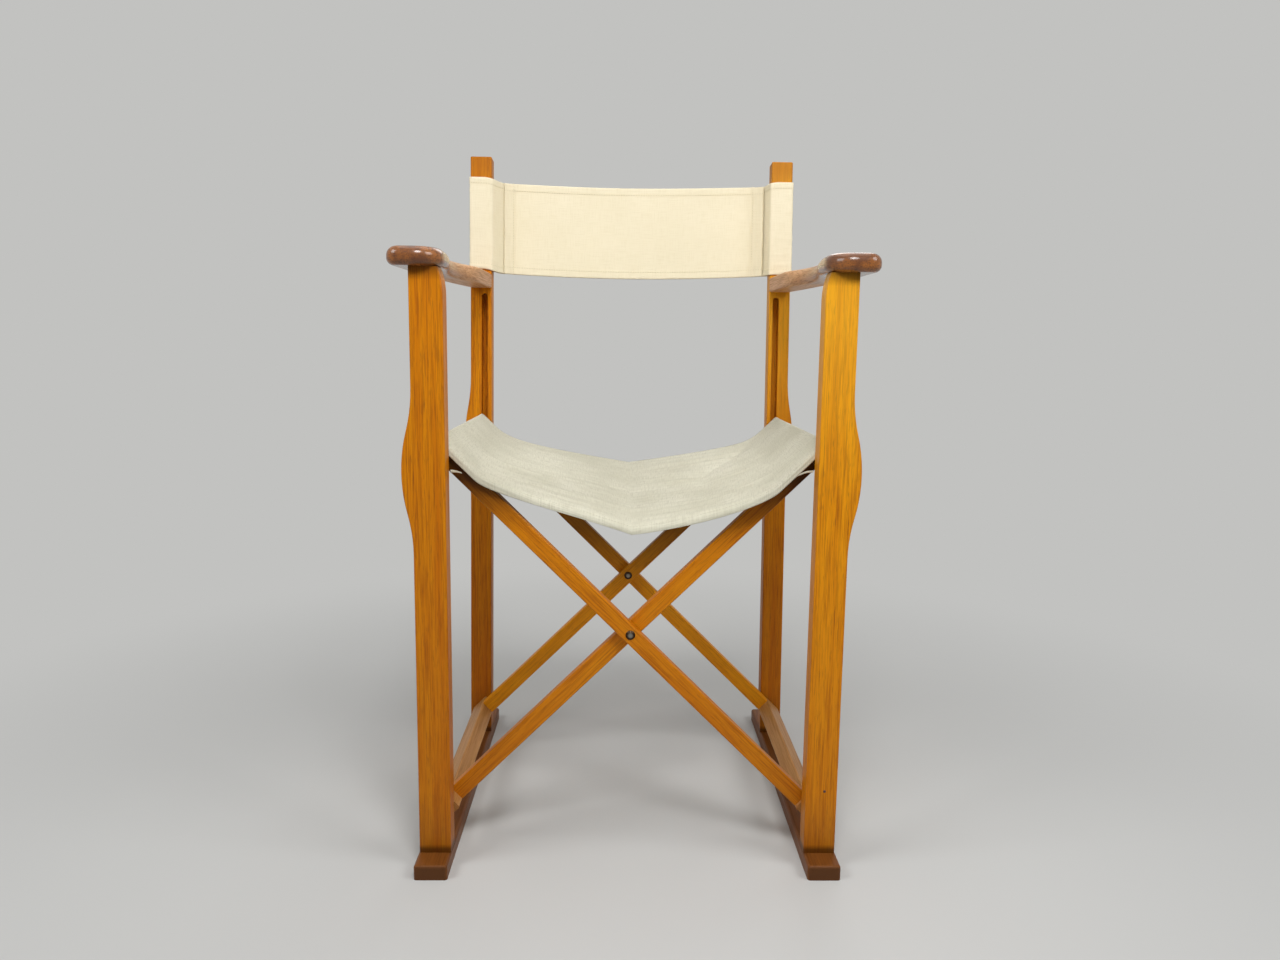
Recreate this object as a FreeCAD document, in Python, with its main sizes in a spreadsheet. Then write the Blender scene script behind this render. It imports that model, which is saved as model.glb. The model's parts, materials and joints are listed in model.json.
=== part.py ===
import FreeCAD, Part
import os
import re

import Sketcher
from FreeCAD import Placement, Rotation, Vector

# A folding directors chair in oiled hardwood with a canvas seat and back.
# Millimetres, +X to the right as seen from the front, +Y to the back, +Z up,
# origin on the floor in the middle between the runners.

SIZES = {
    # floor runners
    "runner_length": 460,
    "runner_width": 37,
    "runner_height": 17,
    "runner_round": 3.5,
    "toe_overhang": 28,
    # clear width between the side frames, halved
    "inner_half": 200,
    # front legs, with the swelling on the outer edge at the height of the seat
    "leg_width": 35.5,
    "leg_thick": 24,
    "leg_bulge": 11.5,
    "bulge_height": 450,
    "bulge_reach": 90,
    "shoulder_reach": 28,
    "shoulder_inset": 5,
    "edge_round": 1.5,
    # back posts
    "post_width": 30,
    "post_thick": 24,
    "post_bulge": 8.5,
    "post_lean_degrees": 4,
    "post_setback": 338,
    "post_show": 29,
    "post_top_round": 2,
    # blind guide slots for the seat pins
    "slot_width": 9,
    "slot_depth": 16,
    "slot_cover": 8,
    # arms
    "arm_height": 666,
    "arm_thick": 20,
    "arm_round": 2.5,
    "worn_round": 10,
    "worn_under_round": 7.5,
    "arm_waist": 14,
    "waist_back": 150,
    "waist_reach": 130,
    "arm_swell": 7,
    "nose_width": 57,
    "nose_overhang": 14,
    "nose_inner_round": 30,
    "nose_outer_round": 15,
    # mortise and tenon joints of the side frames
    "tenon_width": 20,
    "tenon_thick": 12,
    "tenon_length": 11,
    "arm_tenon_width": 12,
    "arm_tenon_high": 10,
    "mortise_relief": 1,
    "joint_play": 0.1,
    # scissor: pivots on the floor rails, rivets at the crossings
    "pivot_inset": 10,
    "pivot_height": 56,
    "cross_height": 263,
    "xleg_width": 19,
    "xleg_thick": 14,
    "xleg_front_gap": 7,
    "xleg_rear_gap": 3,
    "xtenon_width": 11,
    "xtenon_thick": 8,
    "xtenon_length": 8,
    # rails from front to back at the ends of the crossed legs
    "rail_across": 19,
    "rail_along": 26,
    "rail_round": 2,
    "rail_play": 2.5,
    # steel pins, rivets and washers
    "pin_diameter": 8,
    "pin_reach": 14,
    "pin_hold": 25,
    "pin_play": 0.05,
    "rivet_shank": 5.5,
    "rivet_head": 11,
    "rivet_dome": 2.6,
    "rivet_play": 0.05,
    "washer_diameter": 17,
    "washer_thick": 1,
    "washer_play": 0.1,
    # canvas
    "canvas_thick": 1.8,
    "canvas_gap": 0.4,
    "seat_front_gap": 2.5,
    "seat_rear_inset": 4,
    "seat_turn_over": 16,
    "seat_front_contact": 62,
    "seat_rear_contact": 16,
    "seat_front_level": 389,
    "seat_rear_level": 420,
    "seat_front_belly": 8,
    "seat_rear_belly": 14,
    "sleeve_lift": 10,
    "sleeve_height": 125,
    "panel_bow": 6,
    "panel_drop": 5,
    "panel_low": 6,
    "panel_high": 3,
}

# Places that follow from the sizes.
PLACES = {
    "leg_front": "toe_overhang - runner_length / 2",
    "leg_back": "leg_front + leg_thick",
    "leg_outer": "inner_half + leg_width",
    "post_outer": "inner_half + post_width",
    "lean": "post_lean_degrees * 1 deg",
    "post_front": "leg_front + post_setback",
    "post_foot": "post_front + tan(lean) * runner_height + post_thick / cos(lean) / 2",
    "sleeve_bottom": "arm_height + arm_thick + sleeve_lift",
    "sleeve_top": "sleeve_bottom + sleeve_height",
    "post_height": "sleeve_top + post_show",
    "post_length": "post_height / cos(lean)",
    "arm_rear": "post_front + tan(lean) * arm_height",
    "pivot_half": "inner_half + pivot_inset",
    "seat_height": "2 * cross_height - pivot_height",
    "half_pitch": "sqrt(pivot_half ^ 2 + (cross_height - pivot_height) ^ 2)",
    "slope_cos": "pivot_half / half_pitch",
    "slope_sin": "(cross_height - pivot_height) / half_pitch",
    "frame_tilt": "atan2(pivot_half; cross_height - pivot_height)",
    "rail_corner": "sqrt(rail_across ^ 2 + rail_along ^ 2) / 2",
    "floor_rear": "post_front + tan(lean) * pivot_height",
    "seat_rear": "post_front + tan(lean) * seat_height",
    "rail_front": "leg_back + rail_play",
    "floor_rail_rear": "floor_rear - tan(lean) * rail_corner - rail_play",
    "seat_rail_rear": "seat_rear - tan(lean) * rail_corner - rail_play",
    "xleg_step": "xleg_thick + washer_thick + 2 * washer_play",
    "outer_front_y": "leg_back + xleg_front_gap",
    "inner_front_y": "outer_front_y + xleg_step",
    "outer_rear_y": "floor_rear - xleg_rear_gap - xleg_thick",
    "inner_rear_y": "outer_rear_y - xleg_step",
    "xleg_half": "half_pitch - rail_along / 2",
    "slot_top": "arm_height - slot_cover",
    "nose_front": "leg_front - nose_overhang",
    "nose_outer": "inner_half + nose_width",
    "waist_middle": "leg_front + waist_back",
}

doc = FreeCAD.newDocument("directors_chair")
sheet = doc.addObject("Spreadsheet::Sheet", "Sizes")
for row, (alias, size) in enumerate(SIZES.items(), 1):
    sheet.set(f"A{row}", str(size))
    sheet.setAlias(f"A{row}", alias)
doc.recompute()

nodes = {}


def spell(formula):
    """Turn a formula in the names above into an expression on the sheet."""
    def word(match):
        name = match[0]
        if name in PLACES:
            return f"({spell(PLACES[name])})"
        return f"Sizes.{name}" if name in SIZES else name
    return re.sub(r"[a-z]\w*", word, formula)


def number(formula):
    """The present value of a formula, in millimetres or degrees."""
    result = sheet.evalExpression(spell(formula))
    return float(getattr(result, "Value", result))


def bind(thing, formulas):
    """Bind properties of a document object to formulas."""
    for path, formula in formulas.items():
        thing.setExpression(path, spell(formula))


def keep(thing, label):
    """Name a finished sub-part."""
    thing.Label = label
    nodes[label] = thing
    return thing


def new_body(name):
    return doc.addObject("PartDesign::Body", name)


def sketch_on(body, name, role, offset="0"):
    """A sketch on one of the body's own planes, moved along its normal."""
    sketch = body.newObject("Sketcher::SketchObject", name)
    plane = next(feature for feature in body.Origin.OriginFeatures if feature.Role == role)
    sketch.AttachmentSupport = [(plane, "")]
    sketch.MapMode = "FlatFace"
    bind(sketch, {"AttachmentOffset.Base.z": offset})
    return sketch


def draw(sketch, corners):
    """Draw a closed outline, counter-clockwise. A corner is (across, up), or (across, up, rise)
    where an arc arrives at it, which rises that far out of the outline over its chord."""
    points = [Vector(number(corner[0]), number(corner[1]), 0) for corner in corners]
    first = sketch.GeometryCount
    ends = []
    limits = []
    for index, corner in enumerate(corners):
        start, end = points[index - 1], points[index]
        if len(corner) == 2:
            sketch.addGeometry(Part.LineSegment(start, end), False)
            ends.append((1, 2))
            continue
        chord = end - start
        rise = number(corner[2])
        middle = (start + end) * 0.5 + Vector(chord.y, -chord.x, 0).normalize() * rise
        arc = sketch.addGeometry(Part.Arc(start, middle, end), False)
        ends.append((1, 2) if rise > 0 else (2, 1))
        before = corners[index - 1]
        span = f"(({corner[0]}) - ({before[0]})) ^ 2 + (({corner[1]}) - ({before[1]})) ^ 2"
        radius = f"({span}) / (8 * abs({corner[2]})) + abs({corner[2]}) / 2"
        limits.append((Sketcher.Constraint("Radius", arc, number(radius)), radius))
    for index, corner in enumerate(corners):
        here = first + index
        after = first + (index + 1) % len(corners)
        tail = ends[index][1]
        head = ends[(index + 1) % len(corners)][0]
        sketch.addConstraint(Sketcher.Constraint("Coincident", here, tail, after, head))
        across = Sketcher.Constraint("DistanceX", -1, 1, here, tail, points[index].x)
        up = Sketcher.Constraint("DistanceY", -1, 1, here, tail, points[index].y)
        limits.append((across, corner[0]))
        limits.append((up, corner[1]))
    for limit, formula in limits:
        bind(sketch, {f"Constraints[{sketch.addConstraint(limit)}]": formula})


def block(sketch, left, right, low, high):
    """Draw a rectangle."""
    draw(sketch, [(left, low), (right, low), (right, high), (left, high)])


def ring(sketch, across, up, radius):
    """Draw a circle."""
    circle = Part.Circle(Vector(number(across), number(up), 0), Vector(0, 0, 1), number(radius))
    index = sketch.addGeometry(circle, False)
    for kind, formula in (("DistanceX", across), ("DistanceY", up)):
        limit = Sketcher.Constraint(kind, -1, 1, index, 3, number(formula))
        bind(sketch, {f"Constraints[{sketch.addConstraint(limit)}]": formula})
    limit = sketch.addConstraint(Sketcher.Constraint("Radius", index, number(radius)))
    bind(sketch, {f"Constraints[{limit}]": radius})


def pad(body, sketch, length, backwards=False):
    feature = body.newObject("PartDesign::Pad", sketch.Name + "_pad")
    feature.Profile = sketch
    feature.Reversed = backwards
    bind(feature, {"Length": length})
    doc.recompute()
    return feature


def pocket(body, sketch, depth, backwards=False):
    """Cut a sketch into the body, and make sure that it did cut."""
    before = body.Shape.Volume
    feature = body.newObject("PartDesign::Pocket", sketch.Name + "_pocket")
    feature.Profile = sketch
    feature.Reversed = backwards
    bind(feature, {"Length": depth})
    doc.recompute()
    if body.Shape.Volume > before - 1:
        raise RuntimeError(f"{sketch.Name} cuts nothing")
    return feature


def soften(body, radius, chosen):
    """Round those edges of the body that the test picks."""
    base = body.Tip
    edges = [f"Edge{index}" for index, edge in enumerate(base.Shape.Edges, 1) if chosen(edge)]
    feature = body.newObject("PartDesign::Fillet", body.Name + "_round")
    feature.Base = (base, edges)
    bind(feature, {"Radius": radius})
    doc.recompute()
    return feature


def wear(name, base, radii):
    """Round those edges of a solid that get radii, which may differ at the two ends of an edge."""
    feature = doc.addObject("Part::Fillet", name)
    feature.Base = base
    worn = [(index, radii(edge)) for index, edge in enumerate(base.Shape.Edges, 1)]
    feature.Edges = [(index, *ends) for index, ends in worn if ends]
    doc.recompute()
    return feature


def primitive(kind, name, sizes, place):
    """A box or cylinder with its sizes and corner bound to formulas."""
    solid = doc.addObject(kind, name)
    bind(solid, sizes)
    bind(solid, {f"Placement.Base.{axis}": formula for axis, formula in zip("xyz", place)})
    return solid


def round_bar(name, diameter, across, back_from, back_to, up):
    """A round bar that lies from front to back."""
    bar = doc.addObject("Part::Cylinder", name)
    bar.Placement = Placement(Vector(), Rotation(Vector(1, 0, 0), -90))
    bind(bar, {
        "Radius": f"({diameter}) / 2",
        "Height": f"({back_to}) - ({back_from})",
        "Placement.Base.x": across,
        "Placement.Base.y": back_from,
        "Placement.Base.z": up,
    })
    return bar


def combine(kind, name, base, tool):
    feature = doc.addObject(kind, name)
    feature.Base = base
    feature.Tool = tool
    doc.recompute()
    return feature


def swollen_edge(edge, swell, scale="1"):
    """Corners up an outer edge that swells out at the seat: hollow, crown, hollow."""
    low = f"(bulge_height - bulge_reach) / ({scale})"
    high = f"(bulge_height + bulge_reach) / ({scale})"
    turn_low = f"(bulge_height - bulge_reach / 2) / ({scale})"
    turn_high = f"(bulge_height + bulge_reach / 2) / ({scale})"
    quarter = f"(({swell}) ^ 2 + bulge_reach ^ 2) / (4 * ({swell}))"
    hollow = f"{quarter} - sqrt(({quarter}) ^ 2 - (({swell}) ^ 2 + bulge_reach ^ 2) / 16)"
    crown = f"({swell}) / 2"
    return [
        (edge, low),
        (f"{edge} + ({swell}) / 2", turn_low, f"-({hollow})"),
        (f"{edge} + ({swell}) / 2", turn_high, crown),
        (edge, high, f"-({hollow})"),
    ]


def turned_round(corners):
    """The same chain of corners run the other way."""
    chain = []
    rise = []
    for across, up, *arc in reversed(corners):
        chain.append((across, up, *rise))
        rise = [f"-({value})" for value in arc]
    return chain


QUARTER_RISE = "(1 - sqrt(0.5))"


def slot_outline(pin_rest, top):
    """Corners of a guide slot with round ends, from the resting pin up to its closed top."""
    rise = f"slot_width / 2 * {QUARTER_RISE}"
    left = "pivot_half - slot_width / 2"
    right = "pivot_half + slot_width / 2"
    return [
        (left, pin_rest),
        ("pivot_half", f"{pin_rest} - slot_width / 2", rise),
        (right, pin_rest, rise),
        (right, f"{top} - slot_width / 2"),
        ("pivot_half", top, rise),
        (left, f"{top} - slot_width / 2", rise),
    ]


# Floor runner: a flat bar with softened edges, mortised for the leg and the post.
runner = new_body("runner_right_body")
plan = sketch_on(runner, "runner_plan", "XY_Plane")
block(plan, "inner_half", "inner_half + runner_width", "-runner_length / 2", "runner_length / 2")
pad(runner, plan, "runner_height")
soften(runner, "runner_round", lambda edge: edge.BoundBox.ZMax > number("runner_height") / 4)
for name, middle_x, middle_y in (
    ("leg_mortise", "inner_half + leg_width / 2", "leg_front + leg_thick / 2"),
    ("post_mortise", "inner_half + post_width / 2", "post_foot"),
):
    mouth = sketch_on(runner, name, "XY_Plane", "runner_height")
    block(
        mouth,
        f"{middle_x} - tenon_width / 2 - joint_play", f"{middle_x} + tenon_width / 2 + joint_play",
        f"{middle_y} - tenon_thick / 2 - joint_play", f"{middle_y} + tenon_thick / 2 + joint_play",
    )
    pocket(runner, mouth, "tenon_length + mortise_relief")
keep(runner, "runner_right")

# Front leg: a sawn board, swollen on its outer edge, with a guide slot and a pivot hole behind.
leg = new_body("front_leg_right_body")
face = sketch_on(leg, "leg_outline", "XZ_Plane", "-(leg_front)")
draw(face, [
    ("inner_half", "runner_height"),
    ("leg_outer", "runner_height"),
    *swollen_edge("leg_outer", "leg_bulge"),
    ("leg_outer", "arm_height"),
    ("inner_half + shoulder_inset", "arm_height"),
    ("inner_half", "arm_height - shoulder_reach", "shoulder_inset / 4"),
])
pad(leg, face, "leg_thick", backwards=True)


def long_edge(edge):
    """Edges that run up the piece, along its broad faces."""
    box = edge.BoundBox
    return box.ZLength > box.XLength and box.ZLength > box.YLength


soften(leg, "edge_round", long_edge)
top_middle = "inner_half + (leg_width + shoulder_inset) / 2"
for name, middle_x, level, downwards in (
    ("leg_foot_tenon", "inner_half + leg_width / 2", "runner_height", True),
    ("leg_top_tenon", top_middle, "arm_height", False),
):
    tenon = sketch_on(leg, name, "XY_Plane", level)
    block(
        tenon,
        f"{middle_x} - tenon_width / 2", f"{middle_x} + tenon_width / 2",
        "leg_front + (leg_thick - tenon_thick) / 2", "leg_front + (leg_thick + tenon_thick) / 2",
    )
    pad(leg, tenon, "tenon_length", backwards=downwards)
slot = sketch_on(leg, "leg_slot", "XZ_Plane", "-(leg_back)")
draw(slot, slot_outline("seat_height", "slot_top"))
pocket(leg, slot, "slot_depth", backwards=True)
hole = sketch_on(leg, "leg_pivot_hole", "XZ_Plane", "-(leg_back)")
ring(hole, "pivot_half", "pivot_height", "pin_diameter / 2 + pin_play")
pocket(leg, hole, "pin_reach + mortise_relief", backwards=True)
keep(leg, "front_leg_right")

# Back post: drawn upright with its front face on the XZ plane, then leaned back about its foot.
upright = {
    "Placement.Base.y": "post_front",
    "Placement.Rotation.Angle": "-(lean)",
}
post = new_body("back_post_right_body")
post.Placement = Placement(Vector(), Rotation(Vector(1, 0, 0), -number("lean")))
bind(post, upright)
side = sketch_on(post, "post_side", "YZ_Plane", "inner_half")
draw(side, [
    ("0", "runner_height / cos(lean)"),
    ("post_thick", "(runner_height + post_thick * sin(lean)) / cos(lean)"),
    ("post_thick", "post_length"),
    ("0", "post_length"),
])
pad(post, side, "post_width + post_bulge")
spare = sketch_on(post, "post_outer_cut", "XZ_Plane")
draw(spare, [
    ("post_outer + 2 * post_bulge", "post_length + post_thick"),
    ("post_outer", "post_length + post_thick"),
    *turned_round(swollen_edge("post_outer", "post_bulge", "cos(lean)")),
    ("post_outer", "0"),
    ("post_outer + 2 * post_bulge", "0"),
])
pocket(post, spare, "post_thick")
soften(post, "edge_round", long_edge)
soften(post, "post_top_round", lambda edge: edge.BoundBox.ZMin > number("post_length - edge_round / 2"))
groove = sketch_on(post, "post_slot", "XZ_Plane")
draw(groove, slot_outline("seat_height / cos(lean)", "slot_top / cos(lean)"))
pocket(post, groove, "slot_depth")
post_tenon = primitive(
    "Part::Box", "post_foot_tenon",
    {"Length": "tenon_width", "Width": "tenon_thick", "Height": "tenon_length"},
    (
        "inner_half + (post_width - tenon_width) / 2",
        "post_foot - tenon_thick / 2",
        "runner_height - tenon_length",
    ),
)
post_hole = round_bar(
    "post_pivot_hole", "pin_diameter + 2 * pin_play", "pivot_half",
    "floor_rear - post_thick / 4", "floor_rear + pin_reach + mortise_relief", "pivot_height",
)
arm_mortise = primitive(
    "Part::Box", "post_arm_mortise",
    {
        "Length": "arm_tenon_width + 2 * joint_play",
        "Width": "tenon_length + mortise_relief + arm_thick",
        "Height": "arm_tenon_high + 2 * joint_play",
    },
    (
        "inner_half + (post_width - arm_tenon_width) / 2 - joint_play",
        "arm_rear - arm_thick",
        "arm_height + (arm_thick - arm_tenon_high) / 2 - joint_play",
    ),
)
tenoned = combine("Part::Fuse", "post_with_tenon", post, post_tenon)
drilled = combine("Part::Cut", "post_drilled", tenoned, post_hole)
keep(combine("Part::Cut", "post_mortised", drilled, arm_mortise), "back_post_right")

# Arm: a paddle with a broad nose over the leg, waisted inside and cut to the lean of the post.
arm = new_body("armrest_right_body")
paddle = sketch_on(arm, "arm_plan", "XY_Plane", "arm_height")
hollow_turn = "waist_reach / 2"
arm_end = "arm_rear + arm_thick"
waist_bow = "(arm_waist ^ 2 + waist_reach ^ 2) / (4 * arm_waist)"
side_rise = f"{waist_bow} - sqrt(({waist_bow}) ^ 2 - (arm_waist ^ 2 + waist_reach ^ 2) / 16)"
draw(paddle, [
    ("inner_half", "nose_front + nose_inner_round"),
    ("inner_half + nose_inner_round", "nose_front", f"nose_inner_round * {QUARTER_RISE}"),
    ("nose_outer - nose_outer_round", "nose_front"),
    ("nose_outer", "nose_front + nose_outer_round", f"nose_outer_round * {QUARTER_RISE}"),
    ("post_outer", "arm_rear", "arm_swell"),
    ("post_outer", arm_end),
    ("inner_half", arm_end),
    ("inner_half", "waist_middle + waist_reach"),
    ("inner_half + arm_waist / 2", f"waist_middle + {hollow_turn}", side_rise),
    ("inner_half + arm_waist / 2", f"waist_middle - {hollow_turn}", "-arm_waist / 2"),
    ("inner_half", "waist_middle - waist_reach", side_rise),
])
pad(arm, paddle, "arm_thick")
seat_of_leg = sketch_on(arm, "arm_mortise", "XY_Plane", "arm_height")
block(
    seat_of_leg,
    f"{top_middle} - tenon_width / 2 - joint_play", f"{top_middle} + tenon_width / 2 + joint_play",
    "leg_front + (leg_thick - tenon_thick) / 2 - joint_play",
    "leg_front + (leg_thick + tenon_thick) / 2 + joint_play",
)
pocket(arm, seat_of_leg, "tenon_length + mortise_relief", backwards=True)


def worn_rim(edge):
    """Radii at the two ends of an edge of the outline: hands have rounded the nose and the waist,
    and the arm is still sharp near the post."""
    box = edge.BoundBox
    for level, worn in (("arm_height", "worn_under_round"), ("arm_height + arm_thick", "worn_round")):
        flat = max(abs(box.ZMin - number(level)), abs(box.ZMax - number(level))) < number("joint_play")
        mortise = box.XMin > number("inner_half + joint_play") and box.YMax < number("leg_back")
        if flat and box.YMin < number(arm_end) - number(worn) and not (mortise and box.YMin > number("leg_front")):
            return [
                number(worn if end.Y < number("waist_middle + waist_reach") - number(worn) else "arm_round")
                for end in edge.Vertexes
            ]


worn_arm = wear("arm_worn", arm, worn_rim)
behind = doc.addObject("Part::Box", "arm_end_cut")
behind.Placement = Placement(Vector(), Rotation(Vector(1, 0, 0), -number("lean")))
bind(behind, {
    "Length": "2 * post_width",
    "Width": "3 * arm_thick",
    "Height": "3 * arm_thick",
    "Placement.Base.x": "inner_half - post_width / 2",
    "Placement.Base.y": "arm_rear - tan(lean) * arm_thick",
    "Placement.Base.z": "arm_height - arm_thick",
    "Placement.Rotation.Angle": "-(lean)",
})
arm_tenon = primitive(
    "Part::Box", "arm_rear_tenon",
    {"Length": "arm_tenon_width", "Width": "tenon_length + arm_thick / 2", "Height": "arm_tenon_high"},
    (
        "inner_half + (post_width - arm_tenon_width) / 2",
        "arm_rear - arm_thick / 2",
        "arm_height + (arm_thick - arm_tenon_high) / 2",
    ),
)
trimmed = combine("Part::Cut", "arm_trimmed", worn_arm, behind)
keep(combine("Part::Fuse", "arm_with_tenon", trimmed, arm_tenon), "armrest_right")

# Scissor frames. Each is drawn upright about its rivet and leaned over: the inner frame runs from
# the left floor rail up to the right seat rail, the outer frame the other way.
FRAMES = {
    "inner": (1, ("inner_front_y", "inner_rear_y")),
    "outer": (-1, ("outer_front_y", "outer_rear_y")),
}


def lean_over(body, lean_sign):
    """Turn a body about the line of the rivets."""
    body.Placement = Placement(Vector(), Rotation(Vector(0, 1, 0), lean_sign * number("frame_tilt")))
    bind(body, {
        "Placement.Base.z": "cross_height",
        "Placement.Rotation.Angle": f"{lean_sign} * (frame_tilt)",
    })


for frame, (lean_sign, leg_places) in FRAMES.items():
    for end, leg_y in zip(("front", "rear"), leg_places):
        strut = new_body(f"{frame}_leg_{end}_body")
        bar = sketch_on(strut, f"{frame}_{end}_bar", "XZ_Plane", f"-({leg_y})")
        block(bar, "-xleg_width / 2", "xleg_width / 2", "-(xleg_half)", "xleg_half")
        pad(strut, bar, "xleg_thick", backwards=True)
        soften(strut, "edge_round", long_edge)
        tongue_y = f"{leg_y} + (xleg_thick - xtenon_thick) / 2"
        tongue = sketch_on(strut, f"{frame}_{end}_tenons", "XZ_Plane", f"-({tongue_y})")
        for low, high in (
            ("xleg_half", "xleg_half + xtenon_length"),
            ("-(xleg_half) - xtenon_length", "-(xleg_half)"),
        ):
            block(tongue, "-xtenon_width / 2", "xtenon_width / 2", low, high)
        pad(strut, tongue, "xtenon_thick", backwards=True)
        eye = sketch_on(strut, f"{frame}_{end}_eye", "XZ_Plane", f"-({leg_y})")
        ring(eye, "0", "0", "rivet_shank / 2 + rivet_play")
        pocket(strut, eye, "xleg_thick")
        lean_over(strut, lean_sign)
        keep(strut, f"{frame}_leg_{end}")

    for level, up_sign, rail_rear, pin_level, pin_end in (
        ("floor", -1, "floor_rail_rear", "pivot_height", "floor_rear"),
        ("seat", 1, "seat_rail_rear", "seat_height", "seat_rear"),
    ):
        rail = new_body(f"{frame}_{level}_rail_body")
        section = sketch_on(rail, f"{frame}_{level}_section", "XZ_Plane", "-(rail_front)")
        middle = f"{up_sign} * (half_pitch)"
        block(
            section,
            "-rail_across / 2", "rail_across / 2",
            f"{middle} - rail_along / 2", f"{middle} + rail_along / 2",
        )
        pad(rail, section, f"{rail_rear} - rail_front", backwards=True)
        soften(rail, "rail_round", lambda edge: edge.BoundBox.YLength > number("rail_along"))
        for end, leg_y in zip(("front", "rear"), leg_places):
            mortise = sketch_on(
                rail, f"{frame}_{level}_{end}_mortise", "XY_Plane", f"{up_sign} * (xleg_half)",
            )
            block(
                mortise,
                "-xtenon_width / 2 - joint_play", "xtenon_width / 2 + joint_play",
                f"{leg_y} + (xleg_thick - xtenon_thick) / 2 - joint_play",
                f"{leg_y} + (xleg_thick + xtenon_thick) / 2 + joint_play",
            )
            pocket(rail, mortise, "xtenon_length + mortise_relief", backwards=up_sign > 0)
        for end, start, inwards in (("front", "rail_front", False), ("rear", rail_rear, True)):
            bore = sketch_on(rail, f"{frame}_{level}_{end}_bore", "XZ_Plane", f"-({start})")
            ring(bore, "0", middle, "pin_diameter / 2 + pin_play")
            pocket(rail, bore, "pin_hold + mortise_relief", backwards=inwards)
        lean_over(rail, lean_sign)
        keep(rail, f"{frame}_{level}_rail")

        pin_x = f"{up_sign * lean_sign} * pivot_half"
        pins = doc.addObject("Part::Compound", f"{frame}_{level}_pin_pair")
        pins.Links = [
            round_bar(
                f"{frame}_{level}_front_pin", "pin_diameter", pin_x,
                "leg_back - pin_reach", "rail_front + pin_hold", pin_level,
            ),
            round_bar(
                f"{frame}_{level}_rear_pin", "pin_diameter", pin_x,
                f"{rail_rear} - pin_hold", f"{pin_end} + pin_reach", pin_level,
            ),
        ]
        doc.recompute()
        keep(pins, f"{frame}_{level}_pins")

# Rivets through the crossings, domed at both ends, with a washer between the legs.
washers = []
for end, first_leg, last_leg in (
    ("front", "outer_front_y", "inner_front_y"),
    ("rear", "inner_rear_y", "outer_rear_y"),
):
    rivet = new_body(f"cross_rivet_{end}_body")
    half = sketch_on(rivet, f"rivet_{end}_half", "XY_Plane")
    near = f"{first_leg} - washer_play"
    far = f"{last_leg} + xleg_thick + washer_play"
    head_radius = "((rivet_head / 2) ^ 2 + rivet_dome ^ 2) / (2 * rivet_dome)"
    head_rise = f"{head_radius} - sqrt(({head_radius}) ^ 2 - ((rivet_head / 2) ^ 2 + rivet_dome ^ 2) / 4)"
    draw(half, [
        ("0", f"{near} - rivet_dome"),
        ("rivet_head / 2", near, head_rise),
        ("rivet_shank / 2", near),
        ("rivet_shank / 2", far),
        ("rivet_head / 2", far),
        ("0", f"{far} + rivet_dome", head_rise),
    ])
    turned = rivet.newObject("PartDesign::Revolution", f"rivet_{end}_turned")
    turned.Profile = half
    turned.ReferenceAxis = (half, ["V_Axis"])
    turned.Angle = 360
    bind(rivet, {"Placement.Base.z": "cross_height"})
    doc.recompute()
    keep(rivet, f"cross_rivet_{end}")

    washer_from = f"{first_leg} + xleg_thick + washer_play"
    disc = round_bar(
        f"washer_{end}_disc", "washer_diameter", "0",
        washer_from, f"{washer_from} + washer_thick", "cross_height",
    )
    opening = round_bar(
        f"washer_{end}_hole", "rivet_shank + 4 * rivet_play", "0",
        f"{washer_from} - washer_thick", f"{washer_from} + 2 * washer_thick", "cross_height",
    )
    washers.append(combine("Part::Cut", f"washer_{end}", disc, opening))
washer_pair = doc.addObject("Part::Compound", "washer_pair")
washer_pair.Links = washers
doc.recompute()
keep(washer_pair, "cross_washers")

# Back canvas sleeves: flat tubes round the posts, in the posts' own leaning frame.
sleeve = new_body("back_sleeve_right_body")
sleeve.Placement = Placement(Vector(), Rotation(Vector(1, 0, 0), -number("lean")))
bind(sleeve, upright)
wrap = sketch_on(sleeve, "sleeve_section", "XY_Plane", "sleeve_bottom / cos(lean)")
for grow in ("canvas_gap + canvas_thick", "canvas_gap"):
    block(
        wrap,
        f"inner_half - ({grow})", f"post_outer + {grow}",
        f"-({grow})", f"post_thick + {grow}",
    )
pad(sleeve, wrap, "(sleeve_top - sleeve_bottom) / cos(lean)")
keep(sleeve, "back_sleeve_right")

# Back canvas: one strip from sleeve to sleeve behind the posts. Its plan is bowed back, and its
# front view has slack top and bottom edges; the strip is what the two have in common.
strip_half = "inner_half - 2 * canvas_gap - canvas_thick"
strip_near = "post_thick + canvas_gap"
strip_far = "post_thick + canvas_gap + canvas_thick"
bowed = new_body("back_canvas_bowed")
slack = new_body("back_canvas_slack")
for body in (bowed, slack):
    body.Placement = Placement(Vector(), Rotation(Vector(1, 0, 0), -number("lean")))
    bind(body, upright)
bow = sketch_on(bowed, "strip_plan", "XY_Plane", "(sleeve_bottom - panel_low) / cos(lean) - 2 * panel_drop")
draw(bow, [
    (f"-({strip_half})", strip_near),
    (strip_half, strip_near, "-panel_bow"),
    (strip_half, strip_far),
    (f"-({strip_half})", strip_far, "panel_bow"),
])
pad(bowed, bow, "(sleeve_top - sleeve_bottom + panel_low) / cos(lean) + 3 * panel_drop")
view = sketch_on(slack, "strip_view", "XZ_Plane", "-post_thick / 2")
draw(view, [
    (f"-({strip_half})", "(sleeve_bottom - panel_low) / cos(lean)"),
    (strip_half, "(sleeve_bottom - panel_low) / cos(lean)", "panel_drop"),
    (strip_half, "(sleeve_top - panel_high) / cos(lean)"),
    (f"-({strip_half})", "(sleeve_top - panel_high) / cos(lean)", "-panel_drop"),
])
pad(slack, view, "post_thick + 2 * panel_bow", backwards=True)
keep(combine("Part::Common", "back_canvas_strip", bowed, slack), "back_canvas")


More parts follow.
